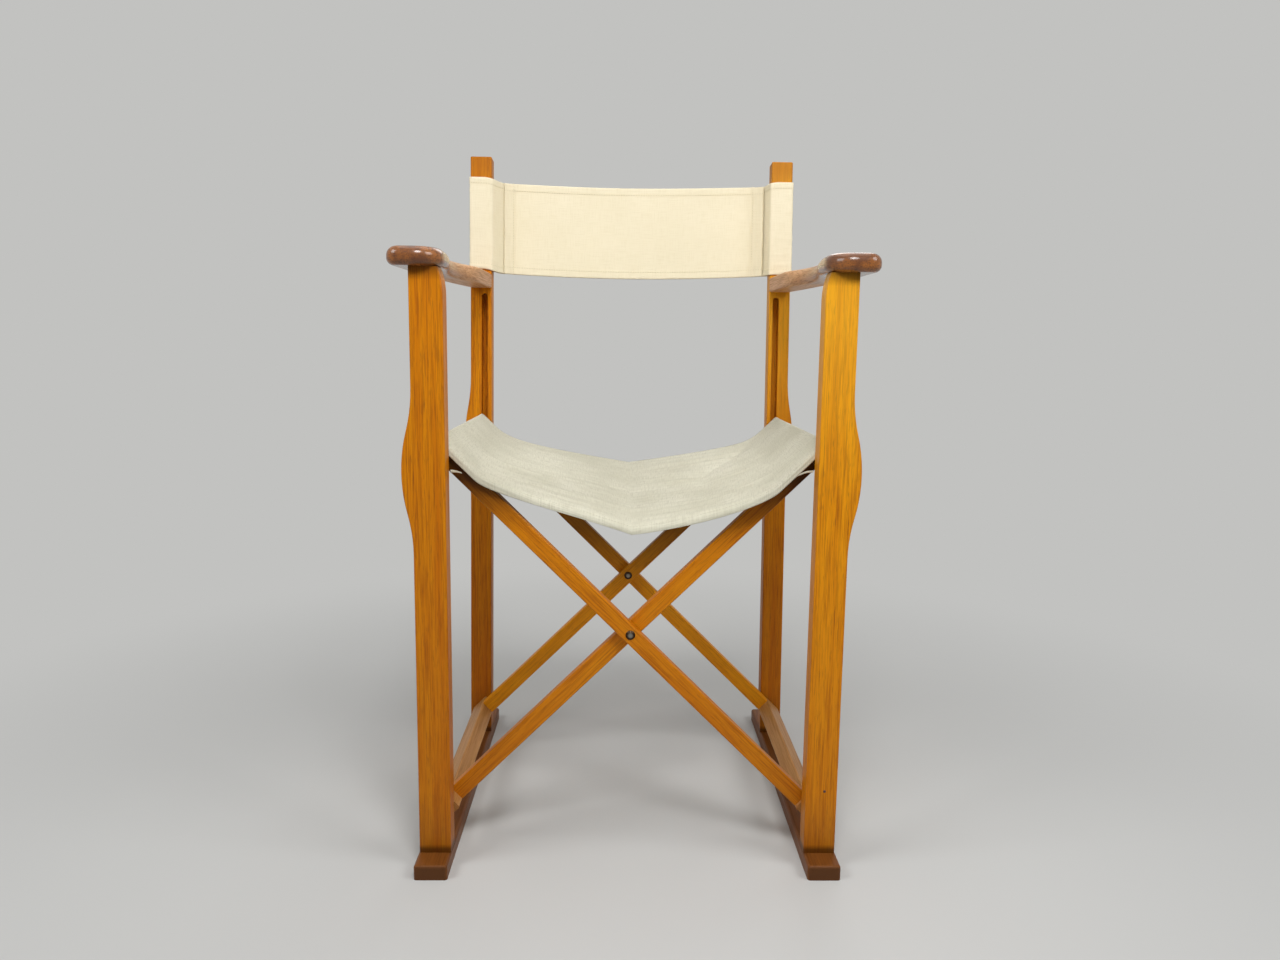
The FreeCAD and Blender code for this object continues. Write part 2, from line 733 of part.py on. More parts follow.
def seat_outline(contact, level, belly):
    """Corners of the sling at one end: a tail over each rail, a run down the rail's face, and two
    hanging arcs that meet in the middle; along the underside, then back along the top."""
    def chain(off):
        over = f"(rail_along / 2 + {off})"
        above = f"(rail_across / 2 + {off})"
        crest_x = f"pivot_half + slope_cos * {over} - slope_sin * {above}"
        crest_z = f"seat_height + slope_sin * {over} + slope_cos * {above}"
        tail_x = f"{crest_x} + slope_sin * (seat_turn_over + {off})"
        tail_z = f"{crest_z} - slope_cos * (seat_turn_over + {off})"
        leave_x = f"{crest_x} - slope_cos * ({contact} + {off})"
        leave_z = f"{crest_z} - slope_sin * ({contact} + {off})"
        return [
            (f"-({tail_x})", tail_z),
            (f"-({crest_x})", crest_z),
            (f"-({leave_x})", leave_z),
            ("0", f"{level} + {off}", belly),
            (leave_x, leave_z, belly),
            (crest_x, crest_z),
            (tail_x, tail_z),
        ]
    return chain("canvas_gap") + turned_round(chain("canvas_gap + canvas_thick"))


# Seat canvas: a sling between the seat rails that hangs lower at its front edge.
seat = new_body("seat_canvas_body")
front_end = sketch_on(seat, "seat_front_end", "XZ_Plane", "-(leg_back + seat_front_gap)")
draw(front_end, seat_outline("seat_front_contact", "seat_front_level", "seat_front_belly"))
rear_end = sketch_on(seat, "seat_rear_end", "XZ_Plane", "-(seat_rail_rear - seat_rear_inset)")
draw(rear_end, seat_outline("seat_rear_contact", "seat_rear_level", "seat_rear_belly"))
sling = seat.newObject("PartDesign::AdditiveLoft", "seat_sling")
sling.Profile = front_end
sling.Sections = [rear_end]
sling.Ruled = True
doc.recompute()
keep(seat, "seat_canvas")

# The left side frame mirrors the right one.
for label in ("runner", "front_leg", "back_post", "armrest", "back_sleeve"):
    twin = doc.addObject("Part::Mirroring", f"{label}_left_mirror")
    twin.Source = nodes[f"{label}_right"]
    twin.Base = Vector()
    twin.Normal = Vector(1, 0, 0)
    keep(twin, f"{label}_left")

doc.recompute()
for thing in doc.Objects:
    if {"Invalid", "Error"} & set(thing.State):
        raise RuntimeError(f"{thing.Label} failed: {thing.State}")
for label, thing in nodes.items():
    if thing.Shape.isNull() or not thing.Shape.isValid() or not thing.Shape.Solids:
        raise RuntimeError(f"{label} has no valid solid")

os.makedirs("parts", exist_ok=True)
for label, thing in nodes.items():
    thing.Shape.exportStep(f"parts/{label}.step")
    print(f"{label}: {len(thing.Shape.Solids)} solids, {thing.Shape.Volume / 1000:.1f} cm3")
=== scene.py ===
import json
from math import cos, exp, pi, radians, sin, tan

import bmesh
import bpy
from mathutils import Matrix, Vector, noise


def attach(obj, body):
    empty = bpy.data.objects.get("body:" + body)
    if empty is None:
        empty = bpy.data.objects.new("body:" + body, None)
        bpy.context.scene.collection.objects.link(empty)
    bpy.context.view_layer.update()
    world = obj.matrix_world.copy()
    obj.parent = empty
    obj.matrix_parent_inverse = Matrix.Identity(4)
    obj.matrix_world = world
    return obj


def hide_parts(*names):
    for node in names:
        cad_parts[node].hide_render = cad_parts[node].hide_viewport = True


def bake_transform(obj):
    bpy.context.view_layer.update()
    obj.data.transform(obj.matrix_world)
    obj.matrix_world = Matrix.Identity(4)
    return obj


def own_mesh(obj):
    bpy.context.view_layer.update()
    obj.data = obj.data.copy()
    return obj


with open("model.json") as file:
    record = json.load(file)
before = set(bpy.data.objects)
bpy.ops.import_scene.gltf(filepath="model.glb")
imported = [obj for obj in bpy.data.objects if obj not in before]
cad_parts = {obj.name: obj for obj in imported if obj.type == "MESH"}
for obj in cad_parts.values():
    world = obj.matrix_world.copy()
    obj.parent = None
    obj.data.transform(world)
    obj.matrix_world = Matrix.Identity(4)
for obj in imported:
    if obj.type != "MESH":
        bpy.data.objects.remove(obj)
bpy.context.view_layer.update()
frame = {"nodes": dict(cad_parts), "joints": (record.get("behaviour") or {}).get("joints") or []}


# Side frames: flat sled runners, front legs and leaning back posts, left and right.
# Straight-grained hardwood, planed and mortised together, then oiled to a honey colour.
# The oil leaves a satin skin; the sawn ends drink it and go dark, and the feet are grimed.

def linear(code):
    """An sRGB hex colour as linear red, green, blue and alpha."""
    parts = [int(code[place:place + 2], 16) / 255 for place in (1, 3, 5)]
    return (*[part / 12.92 if part <= 0.04045 else ((part + 0.055) / 1.055) ** 2.4 for part in parts], 1.0)


def add(tree, kind, sockets=None, **settings):
    """Add a node to a tree with its settings, and set or link its sockets."""
    made = tree.nodes.new(kind)
    for name, value in settings.items():
        setattr(made, name, value)
    for name, value in (sockets or {}).items():
        if isinstance(value, bpy.types.NodeSocket):
            tree.links.new(value, made.inputs[name])
        else:
            made.inputs[name].default_value = value
    return made


def blended(tree, amount, under, over):
    """The colour under, covered by the colour over as far as the amount says."""
    # the places of a Mix node's sockets for colours: its factor, A and B, and its result
    factor, first, second, result = 0, 6, 7, 2
    mix = add(tree, "ShaderNodeMix", {factor: amount, first: under, second: over}, data_type="RGBA")
    return mix.outputs[result]


def new_material(name, **constants):
    """A material with one shader, its constant values set on the shader's sockets."""
    material = bpy.data.materials.new(name)
    material.use_nodes = True
    shader = material.node_tree.nodes["Principled BSDF"]
    for socket, value in constants.items():
        shader.inputs[socket.replace("_", " ")].default_value = value
    return material, material.node_tree, shader


def stain_and_painted_shade(material, colour, most, clear_at, full_at):
    """Colour a material with height, from nothing at the first height to the most at the second; it paints
    real stains, and painted shade too.
    """
    tree = material.node_tree
    tone = tree.nodes["Principled BSDF"].inputs["Base Color"]
    place = add(tree, "ShaderNodeTexCoord")
    height = add(tree, "ShaderNodeSeparateXYZ", {0: place.outputs["Object"]}).outputs["Z"]
    share = add(tree, "ShaderNodeMapRange", {
        "Value": height, "From Min": clear_at, "From Max": full_at, "To Max": most,
    })
    tree.links.new(blended(tree, share.outputs[0], tone.links[0].from_socket, linear(colour)), tone)


def oiled_wood(name, grain, pale, deep, streak, end_grain):
    """Oiled hardwood with its grain along a direction: broad bands, fibre streaks and open pores."""
    material, tree, shader = new_material(name, IOR=1.5, Specular_IOR_Level=0.16)
    place = add(tree, "ShaderNodeTexCoord")
    turn = Vector((0, 0, 1)).rotation_difference(Vector(grain)).to_euler()
    # bands 9 mm wide, fibres 1.6 mm and pores 0.9 mm;
    # the pores are about twice as wide as real ones, so that they show
    clouds = {}
    shares = {}
    for layer, width, length, detail, low, high, most in (
        ("band", 0.009, 0.30, 3, 0.34, 0.66, 0.9),
        ("fibre", 0.0016, 0.055, 4, 0.45, 0.72, 0.85),
        ("pore", 0.0009, 0.014, 1, 0.58, 0.74, 0.40),
    ):
        along = add(tree, "ShaderNodeMapping", {
            "Vector": place.outputs["Object"], "Rotation": turn, "Scale": (width, width, length),
        }, vector_type="TEXTURE")
        clouds[layer] = add(tree, "ShaderNodeTexNoise", {
            "Vector": along.outputs[0], "Scale": 1.0, "Detail": detail,
            "Roughness": 0.55, "Distortion": 0.25,
        }).outputs[0]
        shares[layer] = add(tree, "ShaderNodeMapRange", {
            "Value": clouds[layer], "From Min": low, "From Max": high, "To Max": most,
        }, name=layer).outputs[0]
    tone = blended(tree, shares["band"], linear(pale), linear(deep))
    tone = blended(tree, shares["fibre"], tone, linear(streak))
    tone = blended(tree, shares["pore"], tone, linear(end_grain))
    facing = add(tree, "ShaderNodeVectorMath", {
        0: place.outputs["Normal"], 1: grain,
    }, operation="DOT_PRODUCT")
    straight = add(tree, "ShaderNodeMath", {0: facing.outputs["Value"]}, operation="ABSOLUTE")
    sawn = add(tree, "ShaderNodeMapRange", {
        "Value": straight.outputs[0], "From Min": 0.62, "From Max": 0.93, "To Max": 0.85,
    })
    tone = blended(tree, sawn.outputs[0], tone, linear(end_grain))
    tree.links.new(tone, shader.inputs["Base Color"])
    # painted shade: deeper low down, where less light reaches, and grimed near the floor
    stain_and_painted_shade(material, streak, 0.30, clear_at=0.55, full_at=0.10)
    stain_and_painted_shade(material, end_grain, 0.45, clear_at=0.09, full_at=0.0)
    gloss = add(tree, "ShaderNodeMapRange", {
        "Value": clouds["fibre"], "From Min": 0.3, "From Max": 0.7, "To Min": 0.34, "To Max": 0.50,
    })
    tree.links.new(gloss.outputs[0], shader.inputs["Roughness"])
    relief = add(tree, "ShaderNodeBump", {"Strength": 0.3, "Distance": 0.0004, "Height": clouds["fibre"]})
    tree.links.new(relief.outputs[0], shader.inputs["Normal"])
    return material


def finish_nodes(material, *names):
    """Give CAD nodes a finish."""
    for name in names:
        for holder in frame["nodes"][name].material_slots:
            holder.material = material


# pale, deep, streak and end grain of the boards; the right leg is a paler one
HONEY = "#D8880A", "#C36B04", "#984D06", "#5E381C"
PALE_HONEY = "#EA9B0E", "#D47E06", "#A65806", "#5E381C"
UPRIGHT = 0, 0, 1
POST_LEAN = radians(4)
POST_GRAIN = 0, sin(POST_LEAN), cos(POST_LEAN)
# oiled honey wood: warm orange streaks along the grain, under a satin shine
left_wood = oiled_wood("oiled_honey_wood_upright", UPRIGHT, *HONEY)
right_wood = oiled_wood("oiled_honey_wood_pale_board", UPRIGHT, *PALE_HONEY)
left_post_wood = oiled_wood("oiled_honey_wood_leaning", POST_GRAIN, *HONEY)
right_post_wood = oiled_wood("oiled_honey_wood_leaning_paler_top", POST_GRAIN, *HONEY)
for wood, name in (
    (left_wood, "front_leg_left"),
    (right_wood, "front_leg_right"),
    (left_post_wood, "back_post_left"),
    (right_post_wood, "back_post_right"),
):
    # a dark line in the joint on the runner: dirt, and painted shade of the gap between leg and runner
    stain_and_painted_shade(wood, "#341B08", 0.75, clear_at=0.027, full_at=0.0212)
    finish_nodes(wood, name)
# both boards on the right are paler towards the top
for wood in (right_wood, right_post_wood):
    stain_and_painted_shade(wood, "#FFC83C", 0.30, clear_at=0.42, full_at=0.62)
# painted shade under the arms, and dirt that sits there: a brown edge at the legs' tops
for wood in (left_wood, right_wood):
    stain_and_painted_shade(wood, "#4A2806", 0.70, clear_at=0.652, full_at=0.665)
# deeper at the posts' tops, where hands reach
for wood in (left_post_wood, right_post_wood):
    stain_and_painted_shade(wood, "#A25D04", 0.60, clear_at=0.79, full_at=0.84)
# grimed runner wood: the same oil, gone brown from the floor and from boots
LENGTHWAYS = 0, 1, 0
finish_nodes(
    oiled_wood("grimed_runner_wood", LENGTHWAYS, "#9A5C20", "#844A14", "#66380E", "#54341C"),
    "runner_left", "runner_right",
)


# Arms: paddle-shaped boards of the same wood, tenoned to the posts and mortised over the legs.
# Hands have darkened and polished the noses; towards the post the wood is still pale.

# worn arm wood: dark and glossy at the nose, so that lamps show in it, and tan at the rear
arm_wood = oiled_wood("worn_arm_wood", LENGTHWAYS, "#D8A87E", "#C69063", "#9A6438", "#6A3F1C")
tree = arm_wood.node_tree
shader = tree.nodes["Principled BSDF"]
place = add(tree, "ShaderNodeTexCoord")
depth = add(tree, "ShaderNodeSeparateXYZ", {0: place.outputs["Object"]}).outputs["Y"]
handled = add(tree, "ShaderNodeMapRange", {
    "Value": depth, "From Min": 0.02, "From Max": -0.15, "To Max": 0.95,
}).outputs[0]
tone = shader.inputs["Base Color"].links[0].from_socket
# the dark of the nose is blotched every 16 mm
smear = add(tree, "ShaderNodeTexNoise", {
    "Vector": place.outputs["Object"], "Scale": 1 / 0.016, "Detail": 2.0,
})
blotch = add(tree, "ShaderNodeMapRange", {"Value": smear.outputs[0], "From Min": 0.38, "From Max": 0.62})
worn = blended(tree, blotch.outputs[0], linear("#9A5A1A"), linear("#65340C"))
worn = blended(tree, tree.nodes["fibre"].outputs[0], worn, linear("#422206"))
tree.links.new(blended(tree, handled, tone, worn), shader.inputs["Base Color"])
tree.links.new(handled, shader.inputs["Coat Weight"])
shader.inputs["Coat Roughness"].default_value = 0.17
finish_nodes(arm_wood, "armrest_left", "armrest_right")


# Scissor: two rigid frames, each of two crossing legs tenoned into a floor rail and a seat rail.
# Same oiled wood as the sides, with the grain along each stick.

joints = {joint["name"]: Vector(joint["pos_m"]) for joint in frame["joints"]}
slope = (joints["cross"] - joints["fold"]).normalized()
# painted light: lighter copies of the honey wood, a little for the front legs and more for the rear ones
LIT_CROSS_HONEY_FRONT = "#E2910E", "#CC7506", "#9C5008", "#5E381C"
LIT_CROSS_HONEY_REAR = "#F4A616", "#EA940C", "#C6740A", "#5E381C"
for body, way, grain in (
    ("inner", "rising", slope),
    ("outer", "falling", Vector((-slope.x, 0, slope.z))),
):
    front_wood = oiled_wood(f"oiled_honey_wood_{way}_front", grain, *LIT_CROSS_HONEY_FRONT)
    rear_wood = oiled_wood(f"oiled_honey_wood_{way}_rear", grain, *LIT_CROSS_HONEY_REAR)
    # painted shadow of the seat: dark at the legs' tops, under the canvas
    stain_and_painted_shade(front_wood, "#261205", 0.88, clear_at=0.382, full_at=0.438)
    stain_and_painted_shade(rear_wood, "#45240A", 0.72, clear_at=0.235, full_at=0.330)
    finish_nodes(front_wood, body + "_leg_front")
    finish_nodes(rear_wood, body + "_leg_rear")
# dull rail wood: tan and dry, with little oil left in it
finish_nodes(
    oiled_wood("dull_rail_wood", LENGTHWAYS, "#CE9858", "#B8824A", "#94622E", "#A06E3E"),
    "inner_floor_rail", "outer_floor_rail",
)
# seat rail wood with painted shade: dark brown, standing for the deep shade under the canvas
finish_nodes(
    oiled_wood("painted_shade_seat_rail_wood", LENGTHWAYS, "#6A4522", "#573618", "#432810", "#33200F"),
    "inner_seat_rail", "outer_seat_rail",
)


# Metal: pins in the rail ends, domed rivets through the crossings and washers between the legs.
# Plain steel, turned and headed, gone dull in use.

# dull bare steel: grey with soft highlights, cloudy every 4 mm where it has been rubbed
steel, tree, shader = new_material("dull_steel", Metallic=1.0, Base_Color=linear("#86827A"))
place = add(tree, "ShaderNodeTexCoord")
cloud = add(tree, "ShaderNodeTexNoise", {
    "Vector": place.outputs["Object"], "Scale": 1 / 0.004, "Detail": 3.0,
})
gloss = add(tree, "ShaderNodeMapRange", {"Value": cloud.outputs[0], "To Min": 0.28, "To Max": 0.52})
tree.links.new(gloss.outputs[0], shader.inputs["Roughness"])
finish_nodes(
    steel, "inner_floor_pins", "inner_seat_pins", "outer_floor_pins", "outer_seat_pins", "cross_washers")

# rivet steel: a rubbed bright crown in a ring of dirt and painted shade, where it sits against the wood
rivet_steel, tree, shader = new_material("rivet_steel_dirt_and_painted_shade", Metallic=1.0, Roughness=0.3)
place = add(tree, "ShaderNodeTexCoord")
crossing = joints["cross"]
off_axis = add(tree, "ShaderNodeVectorMath", {
    0: place.outputs["Object"], 1: (1, 0, 1), 2: (-crossing.x, 0, -crossing.z),
}, operation="MULTIPLY_ADD")
radius = add(tree, "ShaderNodeVectorMath", {0: off_axis.outputs[0]}, operation="LENGTH")
ring = add(tree, "ShaderNodeMapRange", {
    "Value": radius.outputs["Value"], "From Min": 0.0016, "From Max": 0.0036,
})
tree.links.new(
    blended(tree, ring.outputs[0], linear("#8E887E"), linear("#3A2C20")), shader.inputs["Base Color"])
finish_nodes(rivet_steel, "cross_rivet_front", "cross_rivet_rear")


# Seat: one piece of heavy cotton canvas slung between the seat rails, hemmed at front and rear.
# It wraps over each rail and under it, tacked to the outer face; the front hem has turned down.
# Years of folding have pressed a crease along the middle, and sitting has left cross ripples.

def canvas(name, pale, worn, slubbed):
    """Heavy plain-woven cotton: a fine thread relief, slubs along both threads and uneven tone."""
    material, tree, shader = new_material(
        name, Roughness=0.92, Sheen_Weight=0.12, Specular_IOR_Level=0.25)
    cloth = add(tree, "ShaderNodeUVMap", uv_map="cloth").outputs[0]
    # threads 1.2 mm apart, twice as coarse as real ones so that the weave shows, with slubs 20 mm long,
    # and patches of worn tone 71 mm wide; a wave texture repeats every pi / 10 at a scale of 1
    pitch, slub_length, patch = 0.0012, 0.020, 1 / 14
    threads = [add(tree, "ShaderNodeTexWave", {
        "Vector": cloth, "Scale": pi / 10 / pitch, "Distortion": 0.4, "Detail": 1.0,
    }, bands_direction=way).outputs["Fac"] for way in "XY"]
    weave = add(tree, "ShaderNodeMath", {0: threads[0], 1: threads[1]}, operation="ADD").outputs[0]
    slubs = []
    for size in ((pitch, slub_length, 1), (slub_length, pitch, 1)):
        along = add(tree, "ShaderNodeMapping", {"Vector": cloth, "Scale": size}, vector_type="TEXTURE")
        slubs.append(add(tree, "ShaderNodeTexNoise", {
            "Vector": along.outputs[0], "Scale": 1.0, "Detail": 1.0,
        }).outputs[0])
    slub = add(tree, "ShaderNodeMath", {0: slubs[0], 1: slubs[1]}, operation="ADD").outputs[0]
    cloud = add(tree, "ShaderNodeTexNoise", {"Vector": cloth, "Scale": 1 / patch, "Detail": 3.0}).outputs[0]
    uneven = add(tree, "ShaderNodeMapRange", {"Value": cloud, "From Min": 0.35, "From Max": 0.7}).outputs[0]
    thick = add(tree, "ShaderNodeMapRange", {
        "Value": slub, "From Min": 0.90, "From Max": 1.30, "To Max": 0.8,
    }).outputs[0]
    tone = blended(tree, uneven, linear(pale), linear(worn))
    tree.links.new(blended(tree, thick, tone, linear(slubbed)), shader.inputs["Base Color"])
    relief = add(tree, "ShaderNodeBump", {"Strength": 0.35, "Distance": 0.0004, "Height": weave})
    tree.links.new(relief.outputs[0], shader.inputs["Normal"])
    return material


def settle(piece):
    """Turn a piece's modifiers into plain mesh."""
    shape = bpy.data.meshes.new_from_object(piece.evaluated_get(bpy.context.evaluated_depsgraph_get()))
    piece.modifiers.clear()
    piece.data = shape


# thickness of single cloth, as a share of a doubled hem's
SINGLE = 0.55


def cloth_piece(name, rows, material, thickness, doubled):
    """A sheet through rows of points, thicker where doubled(row, column) says, with a map in metres."""
    wide = len(rows[0])
    faces = []
    for row in range(len(rows) - 1):
        for first in range(row * wide, row * wide + wide - 1):
            faces.append((first, first + 1, first + wide + 1, first + wide))
    mesh = bpy.data.meshes.new(name)
    mesh.from_pydata([point for row in rows for point in row], [], faces)
    mesh.materials.append(material)
    mesh.shade_smooth()
    middle = rows[len(rows) // 2]
    across = [0.0]
    for one, two in zip(middle, middle[1:]):
        across.append(across[-1] + (two - one).length)
    along = [0.0]
    for one, two in zip(rows, rows[1:]):
        along.append(along[-1] + (two[wide // 2] - one[wide // 2]).length)
    cloth = mesh.uv_layers.new(name="cloth")
    for loop in mesh.loops:
        cloth.data[loop.index].uv = across[loop.vertex_index % wide], along[loop.vertex_index // wide]
    piece = bpy.data.objects.new(name, mesh)
    bpy.context.scene.collection.objects.link(piece)
    hem = piece.vertex_groups.new(name="hem")
    for row in range(len(rows)):
        for column in range(wide):
            hem.add([row * wide + column], 1.0 if doubled(row, column) else SINGLE, "REPLACE")
    body = piece.modifiers.new("body", "SOLIDIFY")
    body.thickness = thickness
    body.offset = 0.0
    body.vertex_group = "hem"
    settle(piece)
    piece.vertex_groups.clear()
    return piece, (across[-1], along[-1])


def mixed(front, rear, share):
    """The value that share of the way from the first to the second."""
    return front + (rear - front) * share


def soft_step(low, high, value):
    """A share that eases from none at the first value to all at the second."""
    share = min(max((value - low) / (high - low), 0.0), 1.0)
    return share * share * (3 - 2 * share)


# half sizes of a rail's section, the radius of its edges, and the middle of the cloth above the wood
RAIL_ALONG, RAIL_ACROSS, RAIL_ROUND = 0.013, 0.0095, 0.002
LIFT = 0.0009
# where the cloth ends under the rail, and Y of the sling's front and rear
UNDER_END = -0.0125
SEAT_FRONT, SEAT_REAR = -0.1767, 0.162
# the seat rails' pins lie across the crossing from the floor rails'
pin = 2 * joints["cross"] - joints["fold"]
# where the cloth leaves the rail, its first reach, level, slope and reach at the middle: front, then rear
SAG = {
    1: ((-0.0557, 0.025, 0.389, 0.10, 0.060), (-0.012, 0.036, 0.4185, 0.15, 0.150)),
    -1: ((-0.0416, 0.025, 0.389, 0.36, 0.070), (-0.012, 0.030, 0.4185, 0.15, 0.140)),
}
# steps along the stretches of the section: sling, rail's top, each rounded edge, rail's face, underside
SLING_STEPS, TOP_STEPS, ROUND_STEPS, FACE_STEPS, UNDER_STEPS = 56, 18, 6, 6, 12


def rail_point(side, along, across):
    """X and Z of a point given along and across a seat rail's section."""
    x = pin.x + along * slope.x - across * slope.z
    return Vector((side * x, pin.z + along * slope.z + across * slope.x))


def seat_half(side, depth):
    """The seat's section from its middle out over one rail and round it, as X and Z."""
    share = (depth - SEAT_FRONT) / (SEAT_REAR - SEAT_FRONT)
    leave, reach, level, tilt, flat = (mixed(*pair, share) for pair in zip(*SAG[side]))
    start = Vector((0, level))
    flat_end = start + Vector((side * flat, tilt * flat))
    top = RAIL_ACROSS + LIFT
    rail_start = rail_point(side, leave, top)
    rail_end = rail_point(side, leave - reach, top)
    points = []
    for step in range(SLING_STEPS):
        t = step / SLING_STEPS
        u = 1 - t
        points.append(
            u ** 3 * start + 3 * u * u * t * flat_end + 3 * u * t * t * rail_end + t ** 3 * rail_start)
    # the middle of each rounded edge, along and across
    edge_along = RAIL_ALONG - RAIL_ROUND
    edge_across = RAIL_ACROSS - RAIL_ROUND
    turn = RAIL_ROUND + LIFT
    for step in range(TOP_STEPS):
        points.append(rail_point(side, mixed(leave, edge_along, step / TOP_STEPS), top))
    for step in range(ROUND_STEPS + 1):
        angle = pi / 2 - pi / 2 * step / ROUND_STEPS
        points.append(rail_point(side, edge_along + turn * cos(angle), edge_across + turn * sin(angle)))
    for step in range(1, FACE_STEPS):
        points.append(rail_point(side, RAIL_ALONG + LIFT, mixed(1, -1, step / FACE_STEPS) * edge_across))
    for step in range(ROUND_STEPS + 1):
        angle = -pi / 2 * step / ROUND_STEPS
        points.append(rail_point(side, edge_along + turn * cos(angle), turn * sin(angle) - edge_across))
    for step in range(1, UNDER_STEPS + 1):
        points.append(rail_point(side, mixed(edge_along, UNDER_END, step / UNDER_STEPS), -top))
    return points


# rows run up the hanging front hem, round its bend and back along the sling
HANG_ROWS, BEND_ROWS, SLING_ROWS = 5, 9, 114
stations = [(0.0, step / HANG_ROWS, 0.0) for step in range(HANG_ROWS)]
stations += [(0.0, 1.0, step / BEND_ROWS) for step in range(BEND_ROWS + 1)]
stations += [(step / SLING_ROWS, 1.0, 1.0) for step in range(1, SLING_ROWS + 1)]
# how far the hem hangs, the share of that near the rails' outer edges, and the place along a rail for it
HEM_FALL, FALL_AT_EDGE, NEAR_EDGE = 0.0092, 0.15, RAIL_ALONG - 0.001
# reach and drop of the bend, in the middle and where it is tight at the rails, and X where these take over
BEND_REACH, BEND_DROP, NEAR_RAIL = (0.0105, 0.0032), (0.0074, 0.0032), (0.095, 0.158)
# X between which the ripples and creases die away towards the rails
FLATTENS = 0.150, 0.190
# height of the fine ripples, 11 mm apart from front to rear, and of the broad ones, 38 mm apart
FINE_RIPPLE, BROAD_RIPPLE = 0.0012, 0.0019
# their waves in a metre, from side to side and from front to rear
FINE_WAVES, BROAD_WAVES = (7, 90), (4, 26)
# creases that sitting has pressed in, most on the right: X and Y of both ends, depth and half width
CREASES = (
    ((0.194, 0.170), (0.078, 0.000), 0.0048, 0.016),
    ((0.106, 0.085), (0.078, -0.130), 0.0032, 0.016),
    ((0.168, 0.010), (0.096, -0.115), 0.0010, 0.004),
    ((0.160, -0.040), (0.112, -0.120), 0.0009, 0.004),
    ((-0.172, 0.090), (-0.060, 0.030), 0.0008, 0.006),
)
# the less this is, the further a crease keeps its depth towards its ends
CREASE_TAPER = 0.6


def rippled(x, y):
    """How high the ripples stand at a point of the seat; they are drawn out from side to side."""
    fine = noise.noise(Vector((x * FINE_WAVES[0], y * FINE_WAVES[1], 4.0)))
    broad = noise.noise(Vector((x * BROAD_WAVES[0] + 8, y * BROAD_WAVES[1], 1.0)))
    return FINE_RIPPLE * fine + BROAD_RIPPLE * broad


def pressed(x, y):
    """How deep the creases are at a point of the seat."""
    depth = 0.0
    for one, two, deep, wide in CREASES:
        line = Vector(two) - Vector(one)
        to_point = Vector((x, y)) - Vector(one)
        share = to_point.dot(line) / line.length_squared
        if 0 < share < 1:
            off_line = abs(line.cross(to_point)) / line.length
            depth += deep * sin(pi * share) ** CREASE_TAPER * exp(-off_line / wide)
    return depth


seat_rows = []
for share, hung, bent in stations:
    depth = mixed(SEAT_FRONT, SEAT_REAR, share)
    row = []
    for x, z in list(reversed(seat_half(-1, depth)[1:])) + seat_half(1, depth):
        near_rail = soft_step(*NEAR_RAIL, abs(x))
        reach = mixed(*BEND_REACH, near_rail)
        drop = mixed(*BEND_DROP, near_rail)
        over = (abs(x) - pin.x) * slope.x + (z - pin.z) * slope.z
        under = (z - pin.z) * slope.x - (abs(x) - pin.x) * slope.z < 0
        fall = (HEM_FALL - drop) * (1 - hung) + drop * (1 - sin(pi / 2 * bent))
        fall *= 0.0 if under else mixed(1.0, FALL_AT_EDGE, soft_step(0.0, NEAR_EDGE, over))
        y = mixed(SEAT_FRONT + reach * (1 - cos(pi / 2 * bent)), SEAT_REAR, share)
        uneven = (rippled(x, y) - pressed(x, y)) * (1 - soft_step(*FLATTENS, abs(x)))
        row.append(Vector((x, y, z - fall + uneven)))
    seat_rows.append(row)
# rows in the front and rear hem, and the front hem's row of stitches
FRONT_HEM, REAR_HEM, FRONT_SEAM = 16, 5, 10
# washed greyish canvas: matt and pale, with a visible thread and a slightly dirty tone
seat_cloth = canvas("washed_seat_canvas", "#DBD8C5", "#CBC8B3", "#BFBBA6")
seat, seat_flat = cloth_piece(
    "seat_sling", seat_rows, seat_cloth, thickness=0.0014,
    doubled=lambda row, column: row < FRONT_HEM or row >= len(seat_rows) - REAR_HEM)

# the loose tails of the front hem, under the rails:
# X and Z of the root, bend and tip, and the height at both ends
TAILS = {
    -1: ((0.1988, 0.4506), (0.1930, 0.4504), (0.1866, 0.4474), 0.0036, 0.0010),
    1: ((0.1988, 0.4538), (0.1900, 0.4537), (0.1808, 0.4482), 0.0022, 0.0016),
}
TAIL_STEPS = 12
hem_tails = []
for side, name in ((-1, "left"), (1, "right")):
    root, bend, tip = (Vector(point) for point in TAILS[side][:3])
    tail_rows = []
    for fall in (0.0, 0.33, 0.67, 1.0):
        row = []
        for step in range(TAIL_STEPS + 1):
            t = step / TAIL_STEPS
            x, z = (1 - t) ** 2 * root + 2 * t * (1 - t) * bend + t * t * tip
            row.append(Vector((side * x, SEAT_FRONT, z - fall * mixed(*TAILS[side][3:], t))))
        tail_rows.append(row)
    tail, _ = cloth_piece(
        "seat_hem_tail_" + name, tail_rows, seat_cloth, thickness=0.0012, doubled=lambda row, column: True)
    hem_tails.append(tail)

# stitch run: short thread stitches laid end to end along a line of points
stitch_run = bpy.data.node_groups.new("stitch_run", "GeometryNodeTree")
stitch_inputs = {}
for name, way, kind in (
    ("Line", "INPUT", "NodeSocketGeometry"), ("Pitch", "INPUT", "NodeSocketFloat"),
    ("Length", "INPUT", "NodeSocketFloat"), ("Width", "INPUT", "NodeSocketFloat"),
    ("Thread", "INPUT", "NodeSocketMaterial"), ("Stitches", "OUTPUT", "NodeSocketGeometry"),
):
    stitch_inputs[name] = stitch_run.interface.new_socket(name, in_out=way, socket_type=kind).identifier
given = add(stitch_run, "NodeGroupInput")
line = add(stitch_run, "GeometryNodeMeshToCurve", {"Mesh": given.outputs["Line"]})
spaced = add(stitch_run, "GeometryNodeResampleCurve", {
    "Curve": line.outputs[0], "Length": given.outputs["Pitch"],
}, mode="LENGTH")
